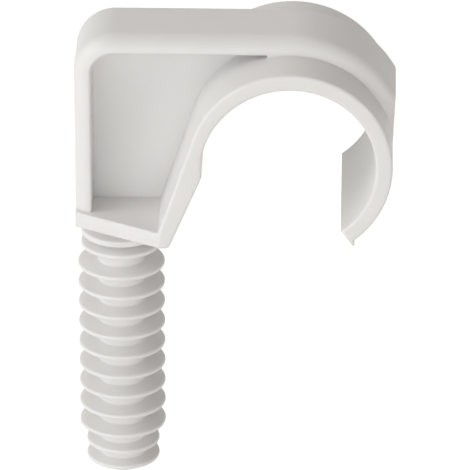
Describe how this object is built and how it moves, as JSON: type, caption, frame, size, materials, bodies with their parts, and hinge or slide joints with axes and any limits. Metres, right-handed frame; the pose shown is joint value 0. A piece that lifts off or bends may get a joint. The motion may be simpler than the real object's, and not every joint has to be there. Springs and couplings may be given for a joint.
{
  "type": "conduit clip",
  "caption": "One-piece hook clip with a ribbed hammer-in plug and a wide open ring that holds a conduit against a wall.",
  "frame": {"origin": "on the plug's axis, in the plane of the wall that the base bears on", "axes": "+Z out of the wall along the plug's axis, +X from the plug towards the ring, +Y along the conduit"},
  "size_m": [0.0385, 0.022, 0.0607],
  "materials": {
    "moulding": "satin"
  },
  "bodies": {
    "root": {"clip_moulding": "moulding"}
  },
  "joints": []
}
